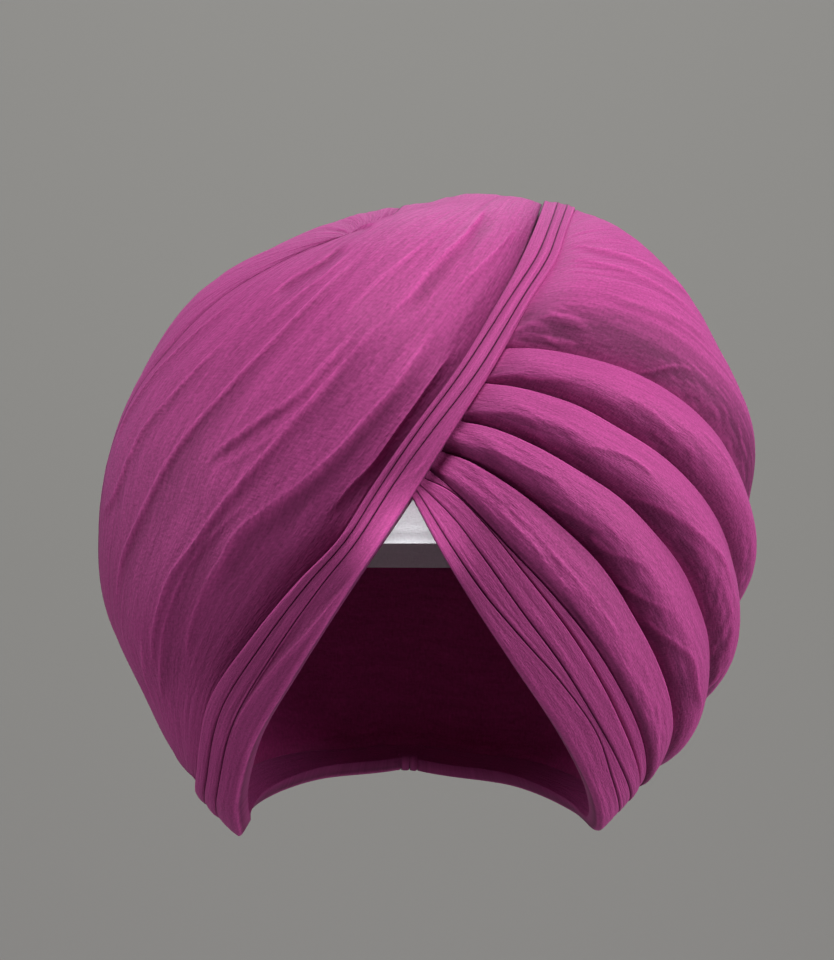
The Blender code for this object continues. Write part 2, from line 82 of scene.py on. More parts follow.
# A fold's route, as in the solids: (azimuth, elevation) in degrees before and after the part that the front
# view shows, and (across, up) in mm in the picture's plane where it is seen
Fold = namedtuple("Fold", "before seen after")
FOLDS = {
    "edge": Fold(
        [(-174.8, -49.8), (-150, -51.8), (-120, -56), (-100, -59), (-88, -60)],
        [(-73, -150), (-67, -128), (-53, -104), (-38, -80), (-25, -60), (-3.6, -28), (14, 0), (27, 20),
         (46, 53), (57, 70), (60, 79)],
        [(80, 63.5), (115, 61), (138, 50), (150, 36), (159, 18), (165, 0), (169.5, -18), (174, -33),
         (180, -49.8)],
    ),
    "wrap": Fold(
        [(-174.8, -41.5), (-150, -43), (-120, -47), (-100, -50)],
        [(-90, -138), (-85, -109), (-69, -85), (-49, -61), (-33, -44.5), (-20, -24.5), (-3, 0), (12, 20),
         (32, 52.5), (40, 67), (45.5, 79)],
        [(76, 68.5), (122, 65.5), (146, 53), (157, 38), (165, 19), (171, 0), (176, -18), (181, -33),
         (187.3, -49.5)],
    ),
    "shoulder": Fold(
        [(-98, -46), (-92, -30), (-86, -12), (-81, 3.5), (-81, 14.5), (-76, 24), (-65.5, 34), (-54, 45.5),
         (-41, 54.5), (-16.5, 65.5), (-18, 83), (174, 81), (175, 63), (176, 39), (177, 18), (178, -8),
         (183, -24), (189.5, -40.8)],
        [],
        [],
    ),
    "valley_1": Fold(
        [],
        [(37.6, 34), (57, 32), (73, 29), (90, 24), (106, 15), (119, 3)],
        [(90, 2.6), (120, -12), (150, -21), (171.4, -27)],
    ),
    "valley_2": Fold(
        [],
        [(28.2, 20), (49, 15.5), (65, 10.5), (81, 2), (98, -8.5), (114, -23.5), (123, -36.5)],
        [(90, -13.2), (120, -25), (150, -31), (173.5, -33)],
    ),
    "valley_3": Fold(
        [],
        [(18.8, 5), (33, 0), (49, -7), (65, -16), (81, -26), (96, -40), (110, -57), (117, -75)],
        [(90, -31.7), (120, -40), (150, -41), (175.3, -38.5)],
    ),
    "valley_4": Fold(
        [],
        [(11.5, -7), (25, -14.5), (41, -24.5), (57, -37), (75, -54.5), (87.5, -74), (97, -92), (103, -115)],
        [(90, -45.5), (120, -49), (150, -46), (176.5, -42)],
    ),
    "valley_5": Fold(
        [],
        [(5.3, -16), (21, -31.5), (37, -48.5), (53, -65.5), (69, -85), (81.5, -105), (89, -121)],
        [(90, -49.4), (120, -51.5), (150, -48.5), (177.4, -44.5)],
    ),
    "pleat_a": Fold(
        [],
        [(3.2, -19.5), (12.5, -24.5), (25, -36.5), (41, -56), (61, -82), (73, -101), (81.5, -118)],
        [(90, -50.8), (120, -52.8), (150, -49.8), (178.6, -46)],
    ),
    "pleat_b": Fold(
        [],
        [(1.2, -23), (14.5, -36.5), (25, -50.5), (41, -73), (57, -94.5), (69, -113.5), (79.5, -132.5)],
        [(90, -52.8), (120, -54.2), (150, -51), (179.2, -47.5)],
    ),
    "pleat_c": Fold(
        [],
        [(-0.4, -25.5), (12.5, -46.5), (25, -65), (41, -84), (57, -102), (72, -123.5), (77.5, -140)],
        [(90, -55.4), (120, -55.6), (150, -52.2), (179.8, -49)],
    ),
    "brow": Fold(
        [],
        [(-2, -28.4), (7.3, -46), (21.5, -70), (40.5, -99), (60, -128.5), (70, -148)],
        [(90, -59.8), (120, -58.2), (150, -54.2), (180.4, -50.4)],
    ),
}

# Cloth wraps on the viewer's right: the folds under and over each, the share of its width where it turns
# under, how far it puffs up there, how steeply it leans back above that, how wide its upper side rolls over
# and how much deeper it lies where it goes under the diagonal edge, in mm, how strong its streaks and its
# puckers are, and its flat size in m
Wrap = namedtuple("Wrap", "lower upper brow puff lean roll hole streak pucker flat")
RIGHT_WRAPS = {
    "right_layer_1": Wrap("valley_1", "edge", 0.16, 5.0, 0.085, 3.0, 0.0, 0.16, 0.7, (0.15, 0.27)),
    "right_layer_2": Wrap("valley_2", "valley_1", 0.4, 5.0, 0.55, 2.0, 1.0, 0.1, 0.5, (0.045, 0.28)),
    "right_layer_3": Wrap("valley_3", "valley_2", 0.4, 5.2, 0.55, 2.0, 2.0, 0.1, 0.5, (0.045, 0.29)),
    "right_layer_4": Wrap("valley_4", "valley_3", 0.4, 5.0, 0.55, 2.0, 4.0, 0.12, 0.5, (0.037, 0.28)),
    "right_layer_5": Wrap("valley_5", "valley_4", 0.3, 3.6, 0.4, 2.0, 7.0, 0.14, 0.4, (0.025, 0.27)),
    "right_pleat_4": Wrap("pleat_a", "valley_5", 0.4, 0.9, 0.1, 1.0, 5.0, 0.1, 0.0, (0.013, 0.26)),
    "right_pleat_3": Wrap("pleat_b", "pleat_a", 0.2, 1.2, 0.15, 0.6, 3.0, 0.16, 0.0, (0.016, 0.26)),
    "right_pleat_2": Wrap("pleat_c", "pleat_b", 0.25, 1.0, 0.1, 0.5, 1.0, 0.14, 0.0, (0.014, 0.25)),
    "right_pleat_1": Wrap("brow", "pleat_c", 0.25, 1.0, 0.05, 0.5, 0.0, 0.14, 0.0, (0.016, 0.26)),
}

# How softly a wrap bends at its brow and how far in from the diagonal edge its hole reaches, in mm, how much
# its brow wavers, as a share of its width, and how squarely its upper side rolls over
BEND = 6.0
HOLE_REACH = 7.0
BROW_WAVER = 0.05
ROLL_POWER = 2.4

# Puckers: how far along they slant for each mm up, as a share of the wrap's length, how many there are along
# it at both sizes, how wide one is, how far up from the fold they are strongest, and their half width, in mm
PUCKER_SLANT = 0.0024
PUCKER_CELLS = (34, 70)
PUCKER_SIZE = 3
PUCKER_PLACE = 7.5
PUCKER_WIDTH = 5.5

# How much of its height a wrap has where it starts and where it ends, and at which shares of its length it
# has come up to all of it and starts to lose it again
CALM_START = 0.75
CALM_END = 0.4
CALM_UP = 0.08
CALM_DOWN = 0.7

# Painted light and shade on the folds: the cloth's colour is made lighter on crests as a painted highlight,
# and darker as painted shade in grooves, along its long sides and above a wrap's lower fold where it turns
# under.
# Over how many mm the height is compared for grooves and for crests, what height in mm counts as a full crest
# or groove, how far from a long side the painted shade reaches and from which width on, in mm, which pieces
# get no painted shade along the opening, how much lighter and darker the paint makes the cloth, and how far
# up from its lower fold a wrap is painted dark, as a share of its brow
SHADE_REACH = 6.0
HIGHLIGHT_REACH = 1.6
HIGHLIGHT_CREST = 0.25
SHADE_GROOVE = 3.0
SHADE_SIDE = 0.9
SHADE_FULL_WIDTH = 24.0
NO_SIDE_SHADE = ("edge_pleat_1", "right_pleat_1")
PAINTED_HIGHLIGHT = 0.26
PAINTED_SHADE = 0.8
SHADE_UNDER = 0.85

# Where the uppermost layer's upper side leaves the diagonal edge's crown, as (azimuth, elevation) in degrees,
# how far the wraps tuck in under that edge, in mm, over what share of their length, and how high they may
# stand there at first and for each mm further on. The last is the form's mean radius, in mm
CROWN_TURN = (80, 63.5)
TUCK = 3.0
TUCK_SHARE = 0.06
HEM_LEVEL = -0.4
HEM_SLOPE = 0.4
FORM_MEAN = 130.0

# How deep each fold looks where two wraps meet along it, in mm below the form
FOLD_DEPTHS = {
    "edge": 3.0, "valley_1": 11.5, "valley_2": 11.5, "valley_3": 11.5, "valley_4": 11.0, "valley_5": 3.0,
    "pleat_a": 3.4, "pleat_b": 0.9, "pleat_c": 0.8, "brow": 2.5,
}

# The diagonal edge's pleats: how far along it, then where the two lines between its three pleats lie, as
# shares of its width from the brow side, how far the pleats puff up, and how sharp their steps are
PleatLine = namedtuple("PleatLine", "along first second puff step")
PLEAT_LINES = [
    PleatLine(0.0, 0.4, 0.7, 1.6, 0.9),
    PleatLine(0.22, 0.45, 0.72, 1.8, 1.0),
    PleatLine(0.3, 0.5, 0.75, 2.0, 1.0),
    PleatLine(0.36, 0.53, 0.78, 2.2, 0.7),
    PleatLine(0.4, 0.55, 0.8, 2.4, 0.4),
    PleatLine(0.47, 0.36, 0.78, 2.2, 0.3),
    PleatLine(0.55, 0.3, 0.6, 0.2, 0.2),
    PleatLine(0.64, 0.3, 0.6, -2.2, 0.2),
    PleatLine(1.0, 0.35, 0.68, 1.0, 0.6),
]

# The pleats' sides, from the brow side up: how wide each side's rounding is and how far it drops, in mm
EdgeStep = namedtuple("EdgeStep", "low_turn low_drop high_turn high_drop")
EDGE_STEPS = [EdgeStep(1.6, 3.0, 0.6, 0.3), EdgeStep(1.3, 1.6, 0.6, 0.3), EdgeStep(1.3, 1.4, 1.4, 3.0)]
PLEAT_GAP = 0.1
PLEAT_CROWN = 0.3
PLEAT_STREAK = 0.12

# The long valley in the left wrap beside the diagonal edge and the swell beyond it: the valley's depth and
# how soon it rises, then the swell's height, how far from the edge it lies and its half width, in mm, and
# what share of both is left on the crown and from where on
VALLEY_DEPTH = 8.0
VALLEY_RISE = 15.0
SWELL_HEIGHT = 4.5
SWELL_PLACE = 48.0
SWELL_WIDTH = 22.0
VALLEY_REST = 0.3
VALLEY_END = 0.56

# Where the left wrap and the one behind it meet: the nape's corner as (azimuth, elevation) in degrees, the
# share of the shoulder fold at its corner, the samples left free beside it and beside the crossing, and the
# gap in mm
NAPE_CORNER = (184.7, -40.8)
SHOULDER_CORNER = 0.43
CORNER_MARGIN = 3
CROSSING_AHEAD = 6
CROSSING_BEHIND = 2
LEFT_GAP = 0.7
RIM_LIFT = 0.006

# How high the streaks, broad lumps and small crinkles of the two large wraps are, how much higher the left
# one's lumps are where the front doesn't show it, and how deep and wide the back one dips at its folds, in mm
Relief = namedtuple("Relief", "streak lump crinkle")
LEFT_RELIEF = Relief(0.09, 0.2, 0.1)
BACK_RELIEF = Relief(0.3, 0.8, 0.12)
HIDDEN_LUMP = 0.5
SHOULDER_DIP = 3.0
SHOULDER_WIDTH = 3.5

# The wound body: how far inside the opening its rim lies and how far round it is blunted, in degrees, and the
# lengths of cloth once round the body and the white band, in m
BODY_INSET = 4.0
BODY_TURN = 0.5
BAND_TURN = 0.56
RIM_BLUNT = 5.0
RIDGE_HEIGHT = 0.45

# The white band's hem: how far it stands out, how far up its middle is and its half width, the same for the
# stitched line above it, how high the band's waves are and how far its sides round off, all in mm
HEM_BULGE = (0.5, 1.8, 1.6)
HEM_STITCH = (0.45, 4.6, 0.5)
BAND_WAVE = 0.35
BAND_ROUND = 0.5

# A crease in a wrap: how high its crest stands and over how many mm it rises on the left, how far the cloth
# steps down on the right and over how many mm it comes back up, and its route, as (across, up) in mm in the
# picture's plane
Crease = namedtuple("Crease", "crest left step fade route")
CREASE_DROP = 1.6
CREASE_TAPER = 0.22
LEFT_CREASES = [
    Crease(0.9, 1.2, 2.4, 6, [
        (-121.5, -75.5), (-122, -66.5), (-120, -52), (-114, -37.5), (-107.5, -24), (-99, -9), (-90.5, 2),
        (-73.5, 20), (-58.5, 35), (-41.5, 51.5), (-26, 65.5), (-14, 77),
    ]),
    Crease(0.7, 1.2, 2, 6, [
        (-129, -36), (-123.5, -26), (-119, -14), (-110.5, 2), (-99, 15), (-85.5, 29.5), (-75.5, 39.5),
    ]),
    Crease(0.6, 1.2, 1.4, 5, [
        (-124.5, -16), (-121.5, -1.5), (-113.5, 14), (-104.5, 25.5), (-92.5, 37.5), (-78.5, 49.5),
        (-67.5, 58.5),
    ]),
    Crease(1, 1.6, 2.4, 9, [
        (-88, -18), (-82, -11), (-71.5, -4), (-59.5, 4.5), (-52, 9), (-46, 14), (-40.5, 20), (-31, 30.5),
        (-22.5, 40.5),
    ]),
    Crease(1, 1.4, 2.8, 7, [
        (-105.5, -98), (-105, -86.5), (-101.5, -71), (-97, -58.5), (-88.5, -47), (-80, -35), (-69.5, -21.5),
        (-57, -6.5), (-45, 8), (-33, 22.5), (-22.5, 34.5), (-11, 46),
    ]),
    Crease(0.5, 1.2, 1.6, 5, [
        (-103, -116), (-103.5, -107), (-102.5, -89), (-98.5, -71), (-91.5, -55.5), (-82.5, -44),
        (-71.5, -33), (-61, -23),
    ]),
    Crease(2.2, 4, 2.6, 7, [
        (-88.5, -69), (-80, -56.5), (-72.5, -43), (-59, -31.5), (-45.5, -20.5), (-32, -7.5), (-21.5, 4.5),
        (-9.5, 18.5), (-1, 31.5), (5.5, 43.5),
    ]),
    Crease(0.5, 1.2, 1.4, 5, [
        (-94.5, -95), (-94, -86.5), (-91.5, -78), (-87, -66.5), (-80, -55), (-70, -44.5),
    ]),
    Crease(1.2, 2.5, 2.4, 6, [
        (-41, -37.5), (-31, -24.5), (-19, -11.5), (-9.5, 2), (0, 15), (8.5, 27), (17.5, 40.5),
    ]),
    Crease(0.2, 1.2, 3.4, 4, [(-60.5, 54), (-51, 61.5), (-39, 68), (-30, 74.5)]),
    Crease(0.2, 1.2, 3.2, 4, [(-41, 78.5), (-29.5, 81), (-16, 82.5)]),
    Crease(0.6, 1.2, 3.8, 5, [
        (-13.5, 43.5), (-7, 50.5), (3.5, 63), (9.5, 70), (17, 77.5), (21.5, 83), (27.5, 90.5),
    ]),
    Crease(0.5, 1.2, 1.4, 4, [(11.5, 52.5), (19, 62.5), (25, 68.5), (33.5, 77), (40, 85)]),
    Crease(0.5, 1.2, 1.6, 5, [(-108.5, -85), (-109, -91.5), (-108, -101), (-105.5, -112)]),
    Crease(0.4, 1.2, 1.2, 4, [(-84, -19), (-74, -13), (-63.5, -7.5), (-53, 1), (-43.5, 10.5)]),
    Crease(0.4, 1.2, 1.2, 4, [(-29.5, 43.5), (-19, 54.5), (-7.5, 65), (3.5, 74.5)]),
    Crease(0.4, 1.2, 1, 4, [(-63.5, 40.5), (-50.5, 52.5), (-36, 62.5), (-23, 73)]),
]
RIGHT_CREASES = {
    "right_layer_1": [
        Crease(0.3, 3, 1.8, 6, [(57, 75), (63, 74), (73.5, 71.5), (85.5, 68), (97.5, 61.5), (110, 50.5)]),
        Crease(0.3, 3, 1.4, 6, [(56, 68), (64.5, 67), (74.5, 65), (89.5, 59.5), (102.5, 51), (114, 38.5)]),
        Crease(0.2, 3, 1.2, 6, [(69.5, 52.5), (81.5, 49.5), (93.5, 45.5), (105.5, 40.5), (116, 31.5)]),
        Crease(0.1, 2, 0.5, 4, [(43.5, 40), (51, 39), (58, 36)]),
        Crease(0.15, 2.5, 1.0, 5, [(89.5, 26), (95.5, 25.5), (103.5, 25.5), (111.5, 21.5)]),
    ],
    "right_layer_2": [
        Crease(0.4, 2, 1.4, 4, [(36, 22.5), (45, 20), (54, 19), (63, 17)]),
        Crease(0.5, 2, 1.5, 4, [(77.5, 13), (89.5, 6.5), (99, -1), (106.5, -5.5)]),
        Crease(0.4, 2, 1.3, 4, [(110, 0), (116, -7.5), (121, -14.5), (123.5, -22.5)]),
    ],
    "right_layer_3": [
        Crease(0.4, 2, 1.4, 4, [(25.5, 7.5), (33, 6.5), (41, 4), (50, -1)]),
        Crease(0.7, 2, 1.7, 4, [(63, -7.5), (73.5, -9.5), (83, -13), (93, -21)]),
        Crease(0.7, 2, 1.7, 5, [
            (83, -25.5), (92.5, -30), (101, -35.5), (112.5, -45.5), (118.5, -52), (122, -65),
        ]),
    ],
    "right_layer_4": [
        Crease(0.5, 2, 1.5, 4, [(24.5, -6.5), (38, -14), (47, -18.5), (55.5, -22.5)]),
        Crease(0.5, 2, 1.4, 4, [(51.5, -29), (56.5, -32), (65, -37), (73.5, -42)]),
        Crease(0.7, 2, 1.5, 4, [(67, -41.5), (75.5, -49), (83, -52), (89.5, -56.5)]),
        Crease(0.7, 2, 1.5, 4, [(75.5, -58.5), (85, -64.5), (92.5, -69.5), (99, -73)]),
        Crease(0.8, 2, 1.7, 5, [
            (90.5, -75.5), (97, -82), (102, -86), (106.5, -90.5), (108.5, -101), (110, -112),
        ]),
    ],
    "right_layer_5": [
        Crease(0.2, 1.5, 0.6, 3, [(24, -22), (40, -36), (56, -53), (70, -71)]),
        Crease(0.2, 1.5, 0.6, 3, [(18, -20), (34, -35), (50, -53), (64, -73), (74, -90)]),
    ],
}
EDGE_CREASES = [
    Crease(0.6, 1.4, 3, 4, [
        (-22, -53.5), (-29, -63), (-36, -71.5), (-43.5, -80.5), (-57, -95), (-65, -105), (-72, -115.5),
        (-76.5, -129),
    ]),
    Crease(0.5, 1.2, 1.6, 3, [
        (-7.5, -16), (-14, -24.5), (-26.5, -39), (-34.5, -47), (-43.5, -56.5), (-50, -64.5), (-56, -73.5),
    ]),
    Crease(0.4, 1.2, 1.4, 3, [(7.5, -7.5), (-1, -17), (-9.5, -22.5), (-16, -31.5), (-23, -40.5), (-32, -51)]),
    Crease(0.3, 1, 1, 2, [(-34, -46), (-22, -30), (-8, -10), (6, 8)]),
    Crease(0.3, 1, 0.9, 2, [(34, 52), (42, 64), (50, 76), (56, 84)]),
    Crease(0.3, 1, 0.8, 2, [(28, 36), (38, 50), (48, 66), (55, 78)]),
]

# Sides of the fine grids: samples along and across each kind of piece. The left wrap has more in front.
LEFT_GRID = (186, 62, 334)
BACK_GRID = (160, 190)
TOP_GRID = (300, 230)
LAYER_GRID = (390, 70)
PLEAT_GRID = (320, 44)
EDGE_GRID = (680, 43)
BODY_GRID = (180, 56)
RING_GRID = (240, 26)

# The front view: the lens sees this many mm per pixel at the head's middle, from this far off
PHOTO_HEIGHT = 960
PHOTO_MM_PER_PIXEL = 0.405
CAMERA_PLACE = (-0.0008, -1.6, -0.02025)
SENSOR = 36.0

# Colours, as linear light
MAGENTA = (0.435, 0.063, 0.245)
MAGENTA_INNER = (0.36, 0.028, 0.16)
WHITE_COTTON = (0.76, 0.76, 0.80)
SHEEN_TINT = (0.75, 0.42, 1.0, 1.0)
BACKDROP = (0.19, 0.188, 0.181, 1.0)
NEAR_WHITE = (1.0, 0.98, 1.0)
VIOLET = (0.95, 0.8, 1.0)
WARM_WHITE = (1.0, 1.0, 0.98)

# The stage in m: the floor's level and flat radius, how far out and up it curves, and the wall's top
FLOOR_LEVEL = -0.85
FLOOR_RADIUS = 1.2
CURVE_REACH = 1.9
CURVE_RISE = 1.6
WALL_TOP = 2.7
FLOOR_CENTRE = 0.001

# The narrow lamp: its place and the point on the white band that it shines at, in m, and how wide it shines
SPOT_PLACE = (0.0, -1.5, -0.3)
SPOT_TARGET = (-0.004, -0.1, -0.04)
SPOT_DEGREES = 1.8


def ease(x):
    """0 below 0, 1 above 1, and a smooth cubic between."""
    x = np.clip(x, 0.0, 1.0)
    return x * x * (3 - 2 * x)


def smooth(x, y, at):
    """Cubic through the points (x, y), read at the places given."""
    x = np.asarray(x, float)
    y = np.asarray(y, float)
    slope = np.gradient(y, x)
    i = np.clip(np.searchsorted(x, at) - 1, 0, len(x) - 2)
    h = x[i + 1] - x[i]
    t = np.clip((at - x[i]) / h, 0.0, 1.0)
    return (
        y[i] * (1 + 2 * t) * (1 - t) ** 2
        + slope[i] * h * t * (1 - t) ** 2
        + y[i + 1] * t * t * (3 - 2 * t)
        + slope[i + 1] * h * t * t * (t - 1)
    )


def directions(azimuth, elevation):
    """Unit directions for angles in degrees: azimuth 0 is the brow, 90 the viewer's right."""
    a = np.radians(azimuth)
    e = np.radians(elevation)
    return np.stack([np.sin(a) * np.cos(e), -np.cos(a) * np.cos(e), np.sin(e)], axis=-1)


def unit(v):
    return v / np.linalg.norm(v, axis=-1, keepdims=True)


def form_radius(d):
    """The form's radius along unit directions: an ellipse round each level of elevation."""
    elevation = np.degrees(np.arcsin(np.clip(d[..., 2], -1, 1)))
    levels = [row.elevation for row in FORM]
    left, right, front, back = [
        smooth(levels, [getattr(row, way) for row in FORM], elevation) for way in Form._fields[1:]
    ]
    side = np.where(d[..., 0] < 0, left, right)
    ahead = np.where(d[..., 1] < 0, front, back)
    sideways = d[..., 0] ** 2 / np.maximum(d[..., 0] ** 2 + d[..., 1] ** 2, 1e-12)
    return 1 / np.sqrt(sideways / side**2 + (1 - sideways) / ahead**2)


def head_radius(d):
    """The head's radius along unit directions: an ellipsoid, longer below its widest level."""
    drop = CENTRE[2] + HEAD_DOME
    level = (d[..., 0] / HEAD_HALF_BREADTH) ** 2 + (d[..., 1] / HEAD_HALF_DEPTH) ** 2
    radius = None
    for height in (HEAD_DOME, HEAD_BELOW):
        a = level + (d[..., 2] / height) ** 2
        b = 2 * drop * d[..., 2] / height**2
        c = (drop / height) ** 2 - 1
        found = (-b + np.sqrt(b * b - 4 * a * c)) / (2 * a)
        radius = found if radius is None else np.where(drop + radius * d[..., 2] < 0, found, radius)
    return radius


def hollow_radius(d):
    """The hollow touches the crown, clears the head's sides, and eases over to the form near thin cloth."""
    fit = head_radius(d) + HOLLOW_CLEARANCE * np.hypot(d[..., 0], d[..., 1])
    thin = form_radius(d) - LEAST_CLOTH
    return (fit + thin - np.sqrt((fit - thin) ** 2 + HOLLOW_EASE**2)) / 2


def cover_depth(d):
    """How deep the outer wraps go below the form: less where there is little cloth."""
    cloth = form_radius(d) - hollow_radius(d)
    return COVER * cloth / (cloth + COVER_EASE)


def seen(across, up):
    """The direction of the point of the form that the front view shows at (across, up)."""
    target = np.array([across, 0.0, up])
    near, far = 0.0, 1.0
    for _ in range(30):
        middle = (near + far) / 2
        offset = EYE + middle * (target - EYE) - CENTRE
        distance = np.linalg.norm(offset)
        if distance > form_radius(offset / distance):
            near = middle
        else:
            far = middle
    return unit(EYE + far * (target - EYE) - CENTRE)


def spread(points, count):
    """Points spaced evenly along a line of directions."""
    length = np.concatenate([[0], np.cumsum(np.linalg.norm(np.diff(points, axis=0), axis=1))])
    at = np.linspace(0, length[-1], count)
    return unit(np.stack([np.interp(at, length, points[:, k]) for k in range(3)], axis=1))


def route_through(knots, count):
    """A smooth route of directions through a few of them."""
    knots = np.array(knots)
    length = np.concatenate([[0], np.cumsum(np.linalg.norm(np.diff(knots, axis=0), axis=1))])
    at = np.linspace(0, length[-1], count)
    return spread(unit(np.stack([smooth(length, knots[:, k], at) for k in range(3)], axis=1)), count)


def fold_route(fold, count=400):
    knots = [directions(*p) for p in fold.before]
    knots += [seen(*p) for p in fold.seen]
    knots += [directions(*p) for p in fold.after]
    return route_through(knots, count)


def stretch(route, start, end, margin, count):
    """The part of a route between the points nearest to two directions, less a few samples at both ends."""
    first = int(np.argmax(route @ start)) + margin
    last = int(np.argmax(route @ end)) - margin
    return spread(route[first : last + 1], count)


# A laid piece of cloth as a grid: its directions, how far along and across it each sample lies, from 0 to 1,
# and the distances in mm from its lower side and to its upper side
Laid = namedtuple("Laid", "d along share low high")


def crowded(count):
    """Shares from 0 to 1, closer together near both ends."""
    x = np.linspace(0, 1, count)
    return x - 0.5 * np.sin(2 * np.pi * x) / (2 * np.pi)


def laid_between(lower, upper, columns, gap=SIDE_GAP):
    """Cloth between two routes with as many samples: each row of it is a great circle between them."""
    angle = np.arccos(np.clip(np.sum(lower * upper, axis=1), -1, 1))
    width = angle * form_radius(unit(lower + upper))
    inset = np.minimum(gap / 2 / width, 0.3)[:, None]
    shares = crowded(columns)[None, :]
    w = (inset + shares * (1 - 2 * inset))[..., None]
    turn = angle[:, None, None]
    d = unit(np.sin((1 - w) * turn) * lower[:, None] + np.sin(w * turn) * upper[:, None])
    middle = unit(lower + upper)
    length = np.linalg.norm(np.diff(middle, axis=0, prepend=middle[:1]), axis=1).cumsum()
    along = np.repeat((length / length[-1])[:, None], columns, axis=1)
    share = np.repeat(shares, len(lower), axis=0)
    return Laid(d, along, share, share * width[:, None], (1 - share) * width[:, None])


def lattice_noise(x, y, columns, rows, seed):
    """Noise from -1 to 1: random values on a lattice over x and y from 0 to 1, joined by smooth cubics."""
    values = np.random.default_rng(seed).uniform(-1, 1, (columns + 2, rows + 2))
    x = np.clip(x, 0, 1) * columns
    y = np.clip(y, 0, 1) * rows
    i = np.floor(x).astype(int)
    j = np.floor(y).astype(int)
    s = ease(x - i)
    t = ease(y - j)
    low = values[i, j] * (1 - s) + values[i + 1, j] * s
    high = values[i, j + 1] * (1 - s) + values[i + 1, j + 1] * s
    return low * (1 - t) + high * t


def streaks(laid, lines, seed):
    """Long fine ridges that follow the cloth: noise in long narrow cells, at two widths."""
    broad = lattice_noise(laid.along, laid.share, 5, lines, seed)
    fine = lattice_noise(laid.along, laid.share, 9, lines * 3, seed + 1)
    return broad + 0.45 * fine


def crinkles(laid, length_cells, width_cells, seed):
    """Small soft dents: noise in cells a little longer than wide, at two sizes."""
    coarse = lattice_noise(laid.along, laid.share, length_cells, width_cells, seed)
    fine = lattice_noise(laid.along, laid.share, length_cells * 2, width_cells * 2, seed + 1)
    return coarse + 0.5 * fine


def puckers(laid, seed):
    """Small slanting wrinkles where the cloth turns under at its lower fold: noise in slanted cells, in
    patches, strongest about 7 mm from the fold and gone beyond 20 mm."""
    slant = laid.along + PUCKER_SLANT * laid.low
    across = laid.low / (laid.low + laid.high).max()
    cells = max(4, int((laid.low + laid.high).max() / PUCKER_SIZE))
    dents = lattice_noise(slant, across, PUCKER_CELLS[0], cells, seed)
    dents = dents + 0.5 * lattice_noise(slant, across, PUCKER_CELLS[1], 2 * cells, seed + 1)
    patches = ease(0.6 + lattice_noise(laid.along, 0.5 + 0 * across, 9, 1, seed + 2))
    return dents * patches * np.exp(-(((laid.low - PUCKER_PLACE) / PUCKER_WIDTH) ** 2))


def crease_heights(d, creases):
    """The height of all creases over directions: the cloth rises to a sharp crest as an exponential on its
    left, falls away from it as a faster exponential on its right, comes back up there as a slow one, and
    tapers to nothing at both ends."""
    flat = d.reshape(-1, 3)
    radius = form_radius(flat)
    total = np.zeros(len(flat))
    for crease in creases:
        route = route_through([seen(*p) for p in crease.route], 70)
        heading = np.gradient(route, axis=0)
        leftward = unit(np.cross(route, heading))
        near = np.argmax(flat @ route.T, axis=1)
        aside = radius * np.sum(flat * leftward[near], axis=1)
        at = near / (len(route) - 1)
        taper = ease(at / CREASE_TAPER) * ease((1 - at) / CREASE_TAPER)
        left = crease.crest * np.exp(-np.maximum(aside, 0) / crease.left)
        drop = np.exp(np.minimum(aside, 0) / CREASE_DROP)
        fade = np.exp(np.minimum(aside, 0) / crease.fade)
        right = crease.crest * drop - crease.step * (fade - drop)
        total += taper * np.where(aside > 0, left, right)
    return total.reshape(d.shape[:-1])


def grid_faces(rows, columns, start=0):
    """Quads of a grid of vertices, as an array."""
    i = np.arange(rows - 1)[:, None] * columns + np.arange(columns - 1)[None, :] + start
    return np.stack([i, i + 1, i + columns + 1, i + columns], axis=-1).reshape(-1, 4)


def ring_faces(turns, levels, start=0):
    """Quads of a closed ring with so many levels of vertices, as an array."""
    ring = np.arange(turns)
    after = np.roll(ring, -1)
    level = start + np.arange(levels - 1)[:, None] * turns
    quads = np.stack([level + ring, level + after, level + turns + after, level + turns + ring], axis=-1)
    return quads.reshape(-1, 4)


def lip_faces(turns, first, second):
    """Quads of a closed ring between two rounds of vertices that start at the numbers given."""
    ring = np.arange(turns)
    after = np.roll(ring, -1)
    return np.stack([first + ring, first + after, second + after, second + ring], axis=-1)


def make_mesh(name, points, quads, uv, triangles=np.zeros((0, 3), int), turn=0.0):
    """A smooth mesh object from arrays: points in mm, quads and triangles, and each point's UV place in m. A
    closed ring of quads whose UV starts again after one turn gets it carried on across the seam."""
    corners = np.concatenate([quads.ravel(), triangles.ravel()])
    starts = np.concatenate([np.arange(0, quads.size, 4), quads.size + np.arange(0, triangles.size, 3)])
    mesh = bpy.data.meshes.new(name)
    mesh.vertices.add(len(points))
    mesh.vertices.foreach_set("co", (points * MM).ravel())
    mesh.loops.add(len(corners))
    mesh.loops.foreach_set("vertex_index", corners)
    mesh.polygons.add(len(starts))
    mesh.polygons.foreach_set("loop_start", starts)
    places = uv[corners]
    if turn:
        along = places[: quads.size, 0].reshape(-1, 4)
        behind = along.max(axis=1, keepdims=True) - along > turn / 2
        places[: quads.size, 0] = np.where(behind, along + turn, along).ravel()
    layer = mesh.uv_layers.new(name="cloth")
    layer.uv.foreach_set("vector", places.ravel())
    mesh.polygons.foreach_set("use_smooth", np.ones(len(starts), bool))
    mesh.update(calc_edges=True)
    mesh.validate()
    piece = bpy.data.objects.new(name, mesh)
    bpy.context.scene.collection.objects.link(piece)
    return piece


def rim_of(index):
    """The border of a grid of vertex numbers, once round."""
    return np.concatenate([index[0], index[1:, -1], index[-1, -2::-1], index[-2:0:-1, 0]])


def coarse_steps(count, step):
    """Every so many of a run of samples, with the last one among them."""
    return np.unique(np.append(np.arange(0, count, step), count - 1))


